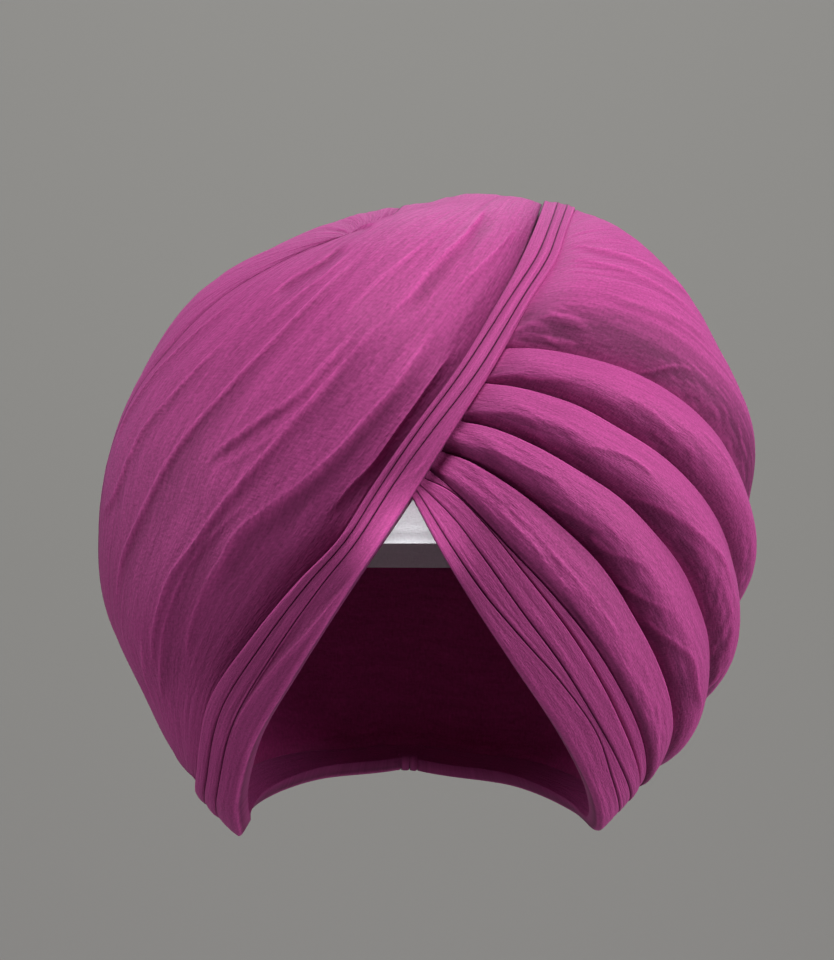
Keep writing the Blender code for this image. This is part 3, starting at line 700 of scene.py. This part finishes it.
def spread_out(values, reach, axis):
    """A running mean of a grid along one axis, over so many samples to each side."""
    padding = [(0, 0), (0, 0)]
    padding[axis] = (reach + 1, reach)
    total = np.cumsum(np.pad(values, padding, mode="edge"), axis=axis)
    length = values.shape[axis]
    ahead = np.take(total, np.arange(2 * reach + 1, 2 * reach + 1 + length), axis=axis)
    behind = np.take(total, np.arange(length), axis=axis)
    return (ahead - behind) / (2 * reach + 1)


def painted_fold_shading(outer, above, low, high, under):
    """Painted light and shade for the folds, from 1 for a painted highlight on the crest of a fold to -1 for
    painted shade down in one. Its light part is the height over the running mean across a narrow strip, and
    its shaded part is how far it lies under the mean across a broad one, with an exponential beside the upper
    side and a bell from the lower one."""
    spacing = np.linalg.norm(np.diff(outer, axis=1), axis=-1).mean()
    reach = max(1, int(round(SHADE_REACH / spacing)))
    mean = spread_out(spread_out(above, reach, 1), reach, 1)
    near = max(1, int(round(HIGHLIGHT_REACH / spacing)))
    crest = above - spread_out(above, near, 1)
    side = SHADE_SIDE * np.clip((low + high) / SHADE_FULL_WIDTH, 0.4, 1)
    beside = np.maximum(np.exp(-((low / np.maximum(side, under)) ** 2)), np.exp(-high / side))
    return np.clip(crest / HIGHLIGHT_CREST, 0, 1) - np.clip((mean - above) / SHADE_GROOVE + beside, 0, 1)


def cloth_slab(name, outer, inner, uv, step=4):
    """A closed piece between an outer and an inner grid of points. The inner one, which lies on the wraps
    below, keeps every fourth row and column. Triangles round the rim join the two: one on each edge of the
    fine rim, and one on each edge of the coarse rim."""
    rows, columns = outer.shape[:2]
    fine = np.arange(rows * columns).reshape(rows, columns)
    row_steps = coarse_steps(rows, step)
    column_steps = coarse_steps(columns, step)
    picked = np.ix_(row_steps, column_steps)
    coarse = rows * columns + np.arange(len(row_steps) * len(column_steps)).reshape(len(row_steps), -1)
    fine_rim = rim_of(fine)
    coarse_rim = rim_of(coarse)
    below = rim_of(fine[picked])
    place = np.zeros(rows * columns, int)
    place[fine_rim] = np.arange(len(fine_rim))
    coarse_place = place[below]
    nearest = np.searchsorted(coarse_place, np.arange(len(fine_rim)), side="right") - 1
    after = np.roll(fine_rim, -1)
    under = coarse_rim[nearest]
    fine_edges = np.stack([after, fine_rim, under], axis=-1)
    coarse_after = np.roll(coarse_rim, -1)
    top = fine_rim[np.roll(coarse_place, -1)]
    coarse_edges = np.stack([coarse_rim, coarse_after, top], axis=-1)
    triangles = np.concatenate([fine_edges, coarse_edges])
    quads = np.concatenate([
        grid_faces(rows, columns),
        grid_faces(len(row_steps), len(column_steps), rows * columns)[:, ::-1],
    ])
    points = np.concatenate([outer.reshape(-1, 3), inner[picked].reshape(-1, 3)])
    places = np.concatenate([uv.reshape(-1, 2), uv[picked].reshape(-1, 2)])
    middle = outer[rows // 2, columns // 2]
    across = outer[rows // 2, columns // 2 + 1] - middle
    onward = outer[rows // 2 + 1, columns // 2] - middle
    if np.dot(np.cross(across, onward), middle - CENTRE) < 0:
        quads = quads[:, ::-1]
        triangles = triangles[:, ::-1]
    return make_mesh(name, points, quads, places, triangles)


def lay(name, laid, above, finish, flat, under=0.0):
    """A wrap or pleat: its outer side at a height over the form, its inner side at the cover's depth. It
    stands for its node of the same name, and its flat size in m scales its UV map."""
    form = form_radius(laid.d)
    cover = cover_depth(laid.d)
    outer = form + np.maximum(above, LEAST_EDGE - cover)
    uv = np.stack([laid.along * flat[1], laid.share * flat[0]], axis=-1)
    outside = CENTRE + laid.d * outer[..., None]
    piece = cloth_slab(name + "_cloth", outside, CENTRE + laid.d * (form - cover)[..., None], uv)
    # Painted light and shade for the outer side's points, stored as an attribute: a painted highlight on
    # crests and painted shade in grooves and along the sides; the listed pieces get no painted shade along
    # their lower side, at the opening
    tone = np.zeros(len(piece.data.vertices))
    low = laid.low + laid.high if name in NO_SIDE_SHADE else laid.low
    tone[: above.size] = painted_fold_shading(outside, outer - form, low, laid.high, under).ravel()
    piece.data.attributes.new("painted_fold_shading", "FLOAT", "POINT").data.foreach_set("value", tone)
    dress(piece, name, finish)
    return piece


def dress(piece, node, finish):
    piece.data.materials.append(finish)
    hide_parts(node)
    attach(piece, "root")


def tuck_under_edge(laid, edge):
    """Moves the start of each row of a wrap a little way under the diagonal edge."""
    outward = unit(laid.d[0] - laid.d[2])
    weight = np.clip(1 - laid.along / TUCK_SHARE, 0, 1)[..., None] ** 2
    return laid._replace(d=unit(laid.d + weight * outward[None, :] * TUCK / FORM_MEAN))


def build_right_wraps(routes, finish):
    """The nested arcs and pleats on the viewer's right. Each comes up from its lower fold as a quarter of an
    ellipse, leans back above its brow, and rolls over at its upper fold."""
    for number, (name, wrap) in enumerate(RIGHT_WRAPS.items()):
        lower = routes[wrap.lower]
        if wrap.upper == "edge":
            rows, columns = TOP_GRID
            turning = directions(*CROWN_TURN)
            upper = stretch(routes["edge"], turning, lower[-1], 0, rows)
            laid = laid_between(spread(lower, rows), upper, columns, PLEAT_GAP)
            beside = stretch(routes["edge"], lower[0], turning, 0, columns)
            beside = beside - laid.d[0]
            laid = laid._replace(d=unit(laid.d + (1 - laid.along[..., None]) ** 4 * beside[None, :]))
        else:
            rows, columns = PLEAT_GRID if name.startswith("right_pleat") else LAYER_GRID
            upper = spread(routes[wrap.upper], rows)
            laid = laid_between(spread(lower, rows), upper, columns, PLEAT_GAP)
        laid = tuck_under_edge(laid, routes["edge"])
        width = laid.low + laid.high
        room = np.minimum(1, width / (8 * wrap.roll))
        waver = lattice_noise(laid.along, 0.5 + 0 * laid.share, 11, 1, 10 * number + 3)
        brow = (wrap.brow + BROW_WAVER * waver) * width
        calm = CALM_START + (1 - CALM_START) * ease(laid.along / CALM_UP)
        calm = calm - (1 - CALM_END) * ease((laid.along - CALM_DOWN) / (1 - CALM_DOWN))
        turned = np.sqrt(np.maximum(0, 1 - (1 - np.clip(laid.low / brow, 0, 1)) ** 2))
        lean = np.hypot(np.maximum(laid.low - brow, 0), BEND) - BEND
        turn = np.clip(laid.high / (wrap.roll * room), 0, 1)
        roll = (1 - (1 - turn) ** ROLL_POWER) ** (1 / ROLL_POWER)
        sink = (FOLD_DEPTHS[wrap.lower] + wrap.puff) * (1 - turned)
        sink = sink + FOLD_DEPTHS[wrap.upper] * (1 - roll) / 2
        above = calm * (room * (wrap.puff - sink) - wrap.lean * lean)
        run = FORM_MEAN * np.linalg.norm(np.diff(laid.d, axis=0, prepend=laid.d[:1]), axis=-1).cumsum(axis=0)
        above -= wrap.hole * np.exp(-((np.maximum(run - TUCK, 0) / HOLE_REACH) ** 1.5))
        inside = ease(laid.low / 3) * ease(laid.high / 3)
        lines = max(6, int(width.max() / 4))
        above += wrap.streak * streaks(laid, lines, 10 * number) * inside
        if wrap.pucker:
            above += wrap.pucker * puckers(laid, 10 * number + 5) * ease(laid.low / 2)
        above += crease_heights(laid.d, RIGHT_CREASES.get(name, [])) * inside
        hem = HEM_LEVEL + HEM_SLOPE * (run - TUCK)
        above = (above + hem - np.sqrt((above - hem) ** 2 + 1.0)) / 2
        lay(name, laid, above, finish, wrap.flat, SHADE_UNDER * brow)


def build_edge_pleats(routes, finish):
    """The three pleats of the diagonal edge: flat strips, a little crowned, whose sides round off as quarters
    of an ellipse."""
    rows, columns = EDGE_GRID
    edge = spread(routes["edge"], rows)
    wrap = spread(routes["wrap"], rows)
    along = np.linspace(0, 1, rows)
    places = [row.along for row in PLEAT_LINES]
    first = smooth(places, [row.first for row in PLEAT_LINES], along)
    second = smooth(places, [row.second for row in PLEAT_LINES], along)
    lines = [edge]
    for share in (first, second):
        lines.append(unit(edge * (1 - share[:, None]) + wrap * share[:, None]))
    lines.append(wrap)
    puffs = smooth(places, [row.puff for row in PLEAT_LINES], along)[:, None]
    steps = smooth(places, [row.step for row in PLEAT_LINES], along)[:, None]
    for k in range(3):
        laid = laid_between(lines[k], lines[k + 1], columns, PLEAT_GAP)
        width = laid.low + laid.high
        near = np.minimum(laid.low, laid.high)
        low_turn = np.clip(laid.low / np.minimum(EDGE_STEPS[k].low_turn, 0.4 * width), 0, 1)
        high_turn = np.clip(laid.high / np.minimum(EDGE_STEPS[k].high_turn, 0.4 * width), 0, 1)
        low_side = np.sqrt(np.maximum(0, 1 - (1 - low_turn) ** 2))
        high_side = np.sqrt(np.maximum(0, 1 - (1 - high_turn) ** 2))
        above = puffs * (1 - PLEAT_CROWN + PLEAT_CROWN * np.sin(np.pi * laid.share))
        low_drop = EDGE_STEPS[k].low_drop * (1 if k == 0 else steps)
        above = above - low_drop * (1 - low_side) - steps * EDGE_STEPS[k].high_drop * (1 - high_side)
        inside = ease(near / 1.5)
        above += PLEAT_STREAK * streaks(laid, 4, 200 + 10 * k) * inside
        above += crease_heights(laid.d, EDGE_CREASES) * inside
        name = "edge_pleat_" + str(k + 1)
        lay(name, laid, above, finish, (0.02, 0.62))


def build_left_wraps(routes, finish, behind_finish):
    """The broad wrap over the left and the crown, and the one behind it. They meet along the shoulder fold,
    which turns a corner on the crown: the wrap behind spans from the fold's front part to its back part."""
    wrap = routes["wrap"]
    shoulder = routes["shoulder"]
    crossing = int(np.argmax(wrap @ shoulder[0]))
    behind_crown = len(wrap) // 2
    nape = behind_crown + int(np.argmax(wrap[behind_crown:] @ directions(*NAPE_CORNER)))
    corner = int(len(shoulder) * SHOULDER_CORNER)

    front_rows, back_rows, columns = LEFT_GRID
    turn = int(np.argmax(wrap @ directions(*CROWN_TURN)))
    before = spread(shoulder[: corner + 1], front_rows)
    behind = spread(shoulder[corner:], back_rows + 1)[1:]
    wrap_before = spread(wrap[crossing + CROSSING_AHEAD : turn], front_rows)
    wrap_behind = spread(wrap[turn:nape], back_rows + 1)[1:]
    lower = np.concatenate([before, behind])
    upper = np.concatenate([wrap_before, wrap_behind])
    laid = laid_between(lower, upper, columns, LEFT_GAP)
    valley = VALLEY_DEPTH * np.exp(-laid.high / VALLEY_RISE)
    swell = SWELL_HEIGHT * np.exp(-(((laid.high - SWELL_PLACE) / SWELL_WIDTH) ** 2))
    open_front = ease(laid.along / 0.15) * ease((VALLEY_END - laid.along) / 0.2)
    front = VALLEY_REST + (1 - VALLEY_REST) * open_front
    above = front * (swell - valley)
    inside = ease(laid.low / 2) * ease(laid.high / 2)
    hidden = ease((laid.d[..., 1] + 0.1) / 0.4)
    above += LEFT_RELIEF.streak * streaks(laid, 26, 300) * inside
    lump = LEFT_RELIEF.lump + HIDDEN_LUMP * hidden
    above += lump * lattice_noise(laid.along, laid.share, 4, 11, 305) * inside
    above += LEFT_RELIEF.crinkle * crinkles(laid, 40, 22, 310) * inside
    above += crease_heights(laid.d, LEFT_CREASES) * inside
    lay("left_wrap", laid, above, finish, (0.13, 0.36))

    rows, columns = BACK_GRID
    before = spread(shoulder[: corner - CORNER_MARGIN][::-1], rows)
    behind = spread(shoulder[corner + CORNER_MARGIN :], rows)
    laid = laid_between(before, behind, columns, LEFT_GAP)
    rim = spread(wrap[: crossing - CROSSING_BEHIND][::-1], columns) + RIM_LIFT * np.array([0, 0, 1])
    rim = rim + laid.share[-1][:, None] ** 4 * (laid.d[-1, -1] - rim[-1])
    d = unit(laid.d + laid.along[..., None] ** 4 * (rim - laid.d[-1])[None, ...])
    laid = laid._replace(d=d)
    near = np.minimum(laid.low, laid.high)
    dip = SHOULDER_DIP * np.exp(-((near / SHOULDER_WIDTH) ** 2))
    above = -dip + BACK_RELIEF.streak * streaks(laid, 26, 320)
    above += BACK_RELIEF.lump * lattice_noise(laid.along, laid.share, 3, 9, 325)
    above += BACK_RELIEF.crinkle * crinkles(laid, 30, 30, 330)
    lay("back_wrap", laid, above, behind_finish, (0.2, 0.3))


def opening_elevation(routes, azimuth):
    """Elevation of the opening's rim at each azimuth: the diagonal edge at the left, the brow fold at the
    right."""
    left = routes["edge"]
    right = routes["brow"]
    meet = int(np.argmin(np.abs(left[:, 0] - right[0, 0]) + np.abs(left[:, 1] - right[0, 1])))
    rim = np.concatenate([left[:meet], right])
    angle = np.degrees(np.arctan2(rim[:, 0], -rim[:, 1]))
    height = np.degrees(np.arcsin(rim[:, 2]))
    order = np.argsort(angle)
    return np.interp(azimuth, angle[order], height[order], period=360)


def build_body(routes, finish):
    """The wound body under the outer wraps: an outer and an inner wall that share closed rings, with low
    ridges round the inner wall where its turns of cloth lie on each other."""
    turns, rows = BODY_GRID
    azimuth = np.arange(turns) * 360 / turns - 180
    beside = [opening_elevation(routes, azimuth + aside) for aside in (-RIM_BLUNT, 0, RIM_BLUNT)]
    rim = np.max(beside, axis=0) + BODY_INSET
    share = (np.arange(rows) / rows)[:, None]
    elevation = rim + (89.6 - rim) * share
    d = directions(azimuth + 0 * elevation, elevation)
    phase = 9 * elevation + 2 * azimuth + 40 * np.sin(np.radians(azimuth))
    ridge = RIDGE_HEIGHT * np.abs(np.sin(np.radians(phase)))
    inner = hollow_radius(d) + ridge
    outer = np.maximum(form_radius(d) - cover_depth(d) - RADIAL_GAP, inner + LEAST_EDGE)
    points = np.concatenate([(CENTRE + d * r[..., None]).reshape(-1, 3) for r in (outer, inner)])
    uv = np.stack([BODY_TURN * azimuth / 360 + 0 * elevation, 0.2 * share + 0 * elevation], axis=-1)
    uv = uv.reshape(-1, 2)
    quads = []
    for base in (0, rows * turns):
        quad = ring_faces(turns, rows, base)
        quads.append(quad if base == 0 else quad[:, ::-1])
        top = base + (rows - 1) * turns
        fold = np.arange(turns // 2 - 1)
        cap = np.stack([top + fold, top + fold + 1, top + turns - 2 - fold, top + turns - 1 - fold], axis=-1)
        quads.append(cap if base == 0 else cap[:, ::-1])
    quads.append(lip_faces(turns, rows * turns, 0))
    uv = np.concatenate([uv, uv])
    piece = make_mesh("inner_wraps_cloth", points, np.concatenate(quads), uv, turn=BODY_TURN)
    dress(piece, "inner_wraps", finish)


def build_under_band(finish):
    """The white band: a closed ring of cloth inside the hollow's wall, with a stitched hem along its lower
    side and soft lengthwise waves, lower at the nape than at the brow."""
    turns, rows = RING_GRID
    azimuth = np.arange(turns) * 360 / turns - 180
    nape = (1 - np.cos(np.radians(azimuth))) / 2
    bottom = BAND_BOTTOM[0] + (BAND_BOTTOM[1] - BAND_BOTTOM[0]) * nape
    share = crowded(rows)[:, None]
    height = bottom + BAND_WIDTH * share
    elevation = np.zeros((rows, turns))
    for _ in range(12):
        radius = hollow_radius(directions(azimuth + 0 * elevation, elevation)) - BAND_GAP
        elevation = np.degrees(np.arctan2(height - CENTRE[2], radius * np.cos(np.radians(elevation))))
    d = directions(azimuth + 0 * elevation, elevation)
    up = BAND_WIDTH * share
    bulge, stitch = [size * np.exp(-(((up - at) / half) ** 2)) for size, at, half in (HEM_BULGE, HEM_STITCH)]
    waves = BAND_WAVE * lattice_noise(azimuth[None, :] / 360 + 0.5 + 0 * up, share + 0 * elevation, 9, 6, 400)
    edge = BAND_ROUND * (1 - np.sqrt(np.clip(1 - (2 * share - 1) ** 8, 0, 1)))
    outer = radius + bulge - stitch + waves - edge
    inner = radius - BAND_THICKNESS + edge
    points = np.concatenate([(CENTRE + d * r[..., None]).reshape(-1, 3) for r in (outer, inner)])
    round_it = BAND_TURN * azimuth / 360 + 0 * elevation
    uv = np.stack([round_it, BAND_WIDTH * MM * share + 0 * elevation], axis=-1)
    uv = uv.reshape(-1, 2)
    outside = ring_faces(turns, rows)
    inside = (outside + rows * turns)[:, ::-1]
    last = (rows - 1) * turns
    low = lip_faces(turns, rows * turns, 0)
    high = lip_faces(turns, last, last + rows * turns)
    quads = np.concatenate([outside, inside, low, high])
    piece = make_mesh("under_band_cloth", points, quads, np.concatenate([uv, uv]), turn=BAND_TURN)
    dress(piece, "under_band", finish)


def node(tree, kind, place, **values):
    """A shader node at a place in the editor, with its inputs set by name."""
    made = tree.nodes.new(kind)
    made.location = place
    for key, value in values.items():
        made.inputs[key.replace("_", " ")].default_value = value
    return made


def stretched_noise(tree, uv, place, scale, detail, roughness):
    """Noise over the UV map, with its own scale along and across the cloth."""
    mapping = node(tree, "ShaderNodeMapping", place, Scale=scale)
    noise = node(tree, "ShaderNodeTexNoise", (place[0] + 250, place[1]), Scale=1.0)
    noise.inputs["Detail"].default_value = detail
    noise.inputs["Roughness"].default_value = roughness
    tree.links.new(uv.outputs["UV"], mapping.inputs["Vector"])
    tree.links.new(mapping.outputs["Vector"], noise.inputs["Vector"])
    return noise


def cotton(name, colour, sheen, crinkle, grain):
    """Plain-woven cotton: fine threads both ways in its colour and bump, slubs, soft crinkles, painted light
    and shade that follow its folds (a painted highlight on crests, painted shade in grooves), and a little
    violet fuzz that catches light at grazing angles."""
    material = bpy.data.materials.new(name)
    material.use_nodes = True
    material.diffuse_color = (*colour, 1.0)
    tree = material.node_tree
    shader = tree.nodes["Principled BSDF"]
    link = tree.links.new
    uv = node(tree, "ShaderNodeUVMap", (-1500, 0))
    uv.uv_map = "cloth"

    long_threads = stretched_noise(tree, uv, (-1200, 200), (550.0, 1400.0, 1.0), 1.0, 0.5)
    cross_threads = stretched_noise(tree, uv, (-1200, -100), (1400.0, 550.0, 1.0), 1.0, 0.5)
    weave = node(tree, "ShaderNodeMix", (-700, 60), Factor=0.5)
    link(long_threads.outputs["Fac"], weave.inputs[2])
    link(cross_threads.outputs["Fac"], weave.inputs[3])

    slub = stretched_noise(tree, uv, (-1200, -400), (60.0, 500.0, 1.0), 2.0, 0.6)
    tone = node(tree, "ShaderNodeMix", (-500, 0), Factor=0.35)
    link(weave.outputs[0], tone.inputs[2])
    link(slub.outputs["Fac"], tone.inputs[3])
    ramp = node(tree, "ShaderNodeValToRGB", (-300, 60))
    ramp.color_ramp.elements[0].position = 0.32
    ramp.color_ramp.elements[0].color = (*(c * (1 - grain) for c in colour), 1.0)
    ramp.color_ramp.elements[1].position = 0.68
    ramp.color_ramp.elements[1].color = (*(c * (1 + grain) for c in colour), 1.0)
    link(tone.outputs[0], ramp.inputs["Fac"])
    # Painted light and shade: the fold attribute scales the base colour up on crests as a painted highlight
    # and down in grooves and undersides as painted shade
    fold = node(tree, "ShaderNodeAttribute", (-500, 400))
    fold.attribute_name = "painted_fold_shading"
    painted_shading_scale = node(tree, "ShaderNodeMath", (-120, 420))
    painted_shading_scale.operation = "MINIMUM"
    for k, change in enumerate((PAINTED_HIGHLIGHT, PAINTED_SHADE)):
        changed = node(tree, "ShaderNodeMath", (-300, 500 - 180 * k))
        changed.operation = "MULTIPLY_ADD"
        changed.inputs[1].default_value = change
        changed.inputs[2].default_value = 1.0
        link(fold.outputs["Fac"], changed.inputs[0])
        link(changed.outputs[0], painted_shading_scale.inputs[k])
    scaled = node(tree, "ShaderNodeVectorMath", (60, 200))
    scaled.operation = "SCALE"
    link(ramp.outputs["Color"], scaled.inputs[0])
    link(painted_shading_scale.outputs[0], scaled.inputs["Scale"])
    link(scaled.outputs[0], shader.inputs["Base Color"])

    soft = stretched_noise(tree, uv, (-1200, -700), (90.0, 260.0, 1.0), 3.0, 0.55)
    soft_bump = node(tree, "ShaderNodeBump", (-500, -500), Strength=crinkle, Distance=0.0012)
    link(soft.outputs["Fac"], soft_bump.inputs["Height"])
    thread_bump = node(tree, "ShaderNodeBump", (-250, -400), Strength=0.8, Distance=0.0005)
    link(weave.outputs[0], thread_bump.inputs["Height"])
    link(soft_bump.outputs["Normal"], thread_bump.inputs["Normal"])
    link(thread_bump.outputs["Normal"], shader.inputs["Normal"])

    shader.inputs["Roughness"].default_value = 0.62
    shader.inputs["Specular IOR Level"].default_value = 0.15
    shader.inputs["Sheen Weight"].default_value = sheen
    shader.inputs["Sheen Roughness"].default_value = 0.45
    shader.inputs["Sheen Tint"].default_value = SHEEN_TINT
    return material


def add_area_light(name, place, target, size, power, colour):
    data = bpy.data.lights.new(name, "AREA")
    data.shape = "DISK"
    data.size = size
    data.energy = power
    data.color = colour
    light = bpy.data.objects.new(name, data)
    light.location = place
    light.rotation_euler = (Vector(target) - Vector(place)).to_track_quat("-Z", "Y").to_euler()
    bpy.context.scene.collection.objects.link(light)


def add_brow_spot():
    """A narrow lamp from low in front, on the white band in the opening."""
    data = bpy.data.lights.new("brow_spot", "SPOT")
    data.energy = 95
    data.spot_size = np.radians(SPOT_DEGREES)
    data.spot_blend = 1.0
    data.shadow_soft_size = 0.012
    light = bpy.data.objects.new("brow_spot", data)
    light.location = SPOT_PLACE
    aim = Vector(SPOT_TARGET) - light.location
    light.rotation_euler = aim.to_track_quat("-Z", "Y").to_euler()
    bpy.context.scene.collection.objects.link(light)


def build_stage():
    """A pale round floor that curves up into a wall: a profile turned about the upright axis."""
    bend = np.radians(np.linspace(4, 90, 22))
    flat = np.stack([np.linspace(0, FLOOR_RADIUS, 6), np.zeros(6)], axis=-1)
    flat[0, 0] = FLOOR_CENTRE
    curve = [FLOOR_RADIUS + CURVE_REACH * np.sin(bend), CURVE_RISE - CURVE_RISE * np.cos(bend)]
    profile = np.concatenate([flat, np.stack(curve, axis=-1), [[FLOOR_RADIUS + CURVE_REACH, WALL_TOP]]])
    turns = 96
    angle = np.arange(turns) * 2 * np.pi / turns
    radius = profile[:, :1]
    level = profile[:, 1:] + FLOOR_LEVEL + 0 * angle
    points = np.stack([radius * np.cos(angle), radius * np.sin(angle), level], axis=-1).reshape(-1, 3)
    quads = ring_faces(turns, len(profile))
    floor = make_mesh("studio_floor", points / MM, quads, points[:, :2].copy())
    material = bpy.data.materials.new("pale_floor")
    material.use_nodes = True
    material.node_tree.nodes["Principled BSDF"].inputs["Base Color"].default_value = BACKDROP
    material.node_tree.nodes["Principled BSDF"].inputs["Roughness"].default_value = 0.9
    floor.data.materials.append(material)


def build_camera():
    """The front view: at the photograph's distance and height, looking level along +Y."""
    data = bpy.data.cameras.new("front_camera")
    distance = -CAMERA_PLACE[1]
    data.sensor_width = SENSOR
    data.lens = SENSOR * distance / (PHOTO_HEIGHT * PHOTO_MM_PER_PIXEL * MM)
    camera = bpy.data.objects.new("front_camera", data)
    camera.location = CAMERA_PLACE
    camera.rotation_euler = (np.pi / 2, 0, 0)
    bpy.context.scene.collection.objects.link(camera)
    bpy.context.scene.camera = camera


def build_light():
    """Soft studio light: a broad lamp overhead, a violet one behind the crown, weak ones at both sides, a
    narrow one on the white band, and one on the wall behind."""
    add_area_light("key", (0.1, -0.72, 1.54), (0, 0, 0), 0.6, 25, NEAR_WHITE)
    add_area_light("crown_rim", (0.0, 1.09, 1.3), (0, 0, 0), 0.9, 12, VIOLET)
    add_area_light("left_front", (-1.4, -0.7, -0.1), (0, 0, 0), 0.7, 5, NEAR_WHITE)
    add_area_light("left_side", (-1.5, 0.2, 0.3), (0, 0, 0), 0.9, 3, NEAR_WHITE)
    add_area_light("right_front", (1.4, -0.9, -0.1), (0, 0, 0), 0.9, 9.5, NEAR_WHITE)
    add_area_light("right_side", (1.5, -0.2, 0.3), (0, 0, 0), 0.9, 10, NEAR_WHITE)
    add_brow_spot()
    add_area_light("wall_wash", (0.0, 1.2, 1.5), (0, 3.1, 0.7), 1.2, 56, WARM_WHITE)
    world = bpy.data.worlds.new("studio")
    world.use_nodes = True
    world.node_tree.nodes["Background"].inputs["Color"].default_value = (0.95, 0.95, 1.0, 1.0)
    world.node_tree.nodes["Background"].inputs["Strength"].default_value = 0.03
    bpy.context.scene.world = world
    bpy.context.scene.view_settings.view_transform = "Standard"


build_camera()
build_light()
build_stage()

magenta = cotton("magenta_cotton_weave", MAGENTA, 0.045, 0.45, 0.3)
magenta_inner = cotton("magenta_cotton_inner_weave", MAGENTA_INNER, 0.1, 0.4, 0.3)
white = cotton("white_cotton_weave", WHITE_COTTON, 0.1, 0.15, 0.07)

fold_routes = {name: fold_route(fold) for name, fold in FOLDS.items()}
build_right_wraps(fold_routes, magenta)
build_edge_pleats(fold_routes, magenta)
build_left_wraps(fold_routes, magenta, magenta)
build_body(fold_routes, magenta_inner)
build_under_band(white)
